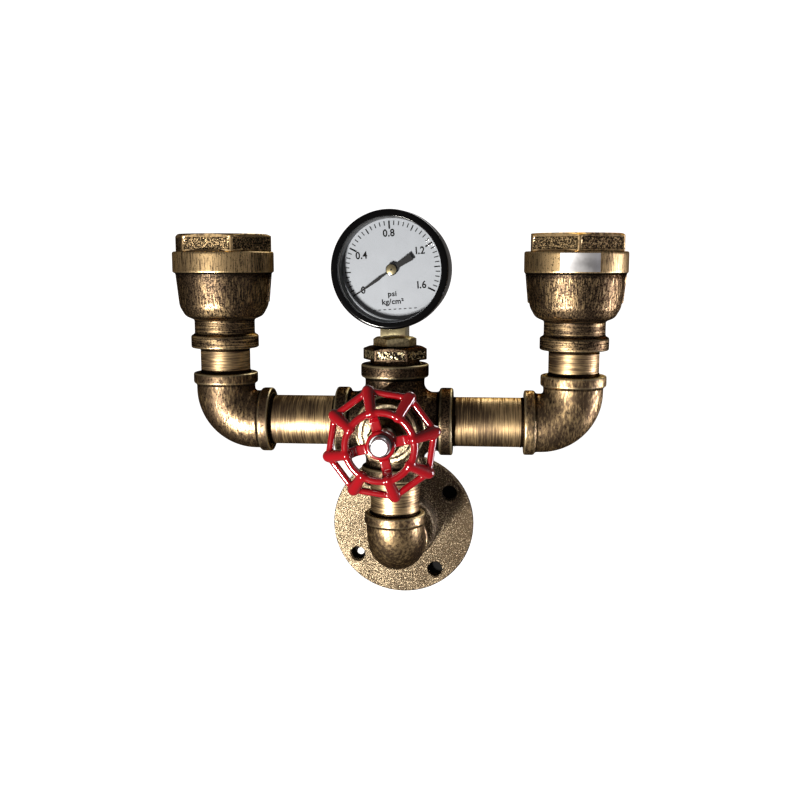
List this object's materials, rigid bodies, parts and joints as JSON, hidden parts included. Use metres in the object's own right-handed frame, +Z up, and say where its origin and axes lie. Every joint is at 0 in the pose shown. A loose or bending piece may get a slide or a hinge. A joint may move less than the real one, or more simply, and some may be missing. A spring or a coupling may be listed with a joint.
{
  "type": "two-light pipe wall lamp",
  "caption": "Two-light wall lamp of threaded pipe fittings, with a round wall flange, upward bell-shaped lampholders, a dial gauge and a red handwheel.",
  "frame": {"origin": "centre of the wall flange's back face, which lies on the wall", "axes": "+X to the right as seen from the room, +Y into the wall, +Z up"},
  "size_m": [0.2428, 0.1376, 0.2272],
  "materials": {
    "flange_metal": "sand-cast, antique brass finish, lightly grained",
    "fitting_metal": "cast, antique brass finish, brushed",
    "pipe_metal": "antique brass finish, fine brush lines round the pipe",
    "bushing_metal": "dark bronze finish, rough cast",
    "bright_brass": "machined",
    "movement_brass": "stamped, satin",
    "tube_bronze": "drawn, satin",
    "porcelain": "glazed white porcelain, opaque",
    "shell_metal": "nickel plated",
    "zinc_steel": "zinc plated",
    "spring_steel": "drawn wire",
    "live_insulation": "matt",
    "neutral_insulation": "matt",
    "gauge_black": "gloss black enamel",
    "ring_grey": "satin",
    "dial_grey": "printed, matt light grey",
    "pointer_black": "matt black",
    "window_glass": "clear",
    "seal_rubber": "matt",
    "red_enamel": "gloss red enamel",
    "bright_steel": "bright plated"
  },
  "bodies": {
    "lamp_body": {"wall_flange": "flange_metal", "flange_nipple": "pipe_metal", "lower_elbow": "fitting_metal", "riser_nipple": "pipe_metal", "cross_fitting": "fitting_metal", "left_arm_pipe": "pipe_metal", "left_elbow": "fitting_metal", "left_cup_nipple": "pipe_metal", "left_reducer": "fitting_metal", "left_hex_bushing": "bushing_metal", "left_lampholder_body": "porcelain", "left_screw_shell": "shell_metal", "left_contact_spring": "spring_steel", "left_clamp_plate": "zinc_steel", "left_holder_screws": "zinc_steel", "left_terminals": "bright_brass", "left_terminal_screws": "zinc_steel", "left_live_lead": "live_insulation", "left_neutral_lead": "neutral_insulation", "right_arm_pipe": "pipe_metal", "right_elbow": "fitting_metal", "right_cup_nipple": "pipe_metal", "right_reducer": "fitting_metal", "right_hex_bushing": "bushing_metal", "right_lampholder_body": "porcelain", "right_screw_shell": "shell_metal", "right_contact_spring": "spring_steel", "right_clamp_plate": "zinc_steel", "right_holder_screws": "zinc_steel", "right_terminals": "bright_brass", "right_terminal_screws": "zinc_steel", "right_live_lead": "live_insulation", "right_neutral_lead": "neutral_insulation", "top_bushing": "bushing_metal", "gauge_adapter": "bright_brass", "gauge_socket": "bright_brass", "gauge_case": "gauge_black", "gauge_bezel": "gauge_black", "gauge_gasket": "seal_rubber", "gauge_window": "window_glass", "gauge_inner_ring": "ring_grey", "gauge_dial": "dial_grey", "movement_back_plate": "movement_brass", "movement_front_plate": "movement_brass", "movement_pillars": "movement_brass", "hairspring": "tube_bronze", "bourdon_tube": "tube_bronze", "tube_tip": "tube_bronze", "front_bushing": "bushing_metal", "wheel_spindle": "bright_brass", "wheel_washers": "bright_steel", "wheel_bolt": "bright_steel"},
    "handwheel": {"handwheel": "red_enamel"},
    "pointer": {"gauge_pointer": "pointer_black", "pinion_arbor": "movement_brass"},
    "sector": {"sector_gear": "movement_brass"},
    "link": {"tip_link": "movement_brass"},
    "left_contact": {"left_centre_contact": "movement_brass"},
    "right_contact": {"right_centre_contact": "movement_brass"}
  },
  "joints": [
    {"name": "handwheel_spin", "type": "hinge", "parent": "lamp_body", "child": "handwheel", "pos_m": [0, -0.127, 0.072], "axis": [0, -1, 0], "continuous": true},
    {"name": "sector_turn", "type": "hinge", "parent": "lamp_body", "child": "sector", "pos_m": [0, -0.058, 0.1375], "axis": [-0.0872, -0.9962, 0], "range_deg": [0, 30], "stiffness_Nm_per_rad": 0.002, "springref_deg": -2.86},
    {"name": "pointer_turn", "type": "hinge", "parent": "lamp_body", "child": "pointer", "pos_m": [0, -0.058, 0.1537], "axis": [-0.0872, -0.9962, 0], "range_deg": [-240, 0]},
    {"name": "link_turn", "type": "hinge", "parent": "sector", "child": "link", "pos_m": [0.00655, -0.05857, 0.13511], "axis": [-0.0872, -0.9962, 0], "range_deg": [-30, 0]},
    {"name": "left_contact_slide", "type": "slide", "parent": "lamp_body", "child": "left_contact", "axis": [0, 0, 1], "range_m": [-0.0015, 0], "stiffness_N_per_m": 800, "springref_m": 0.002, "deforming": ["left_contact_spring"]},
    {"name": "right_contact_slide", "type": "slide", "parent": "lamp_body", "child": "right_contact", "axis": [0, 0, 1], "range_m": [-0.0015, 0], "stiffness_N_per_m": 800, "springref_m": 0.002, "deforming": ["right_contact_spring"]}
  ],
  "couplings": [
    {"joint": "pointer_turn", "follows": "sector_turn", "ratio": -8},
    {"joint": "link_turn", "follows": "sector_turn", "ratio": -1}
  ]
}
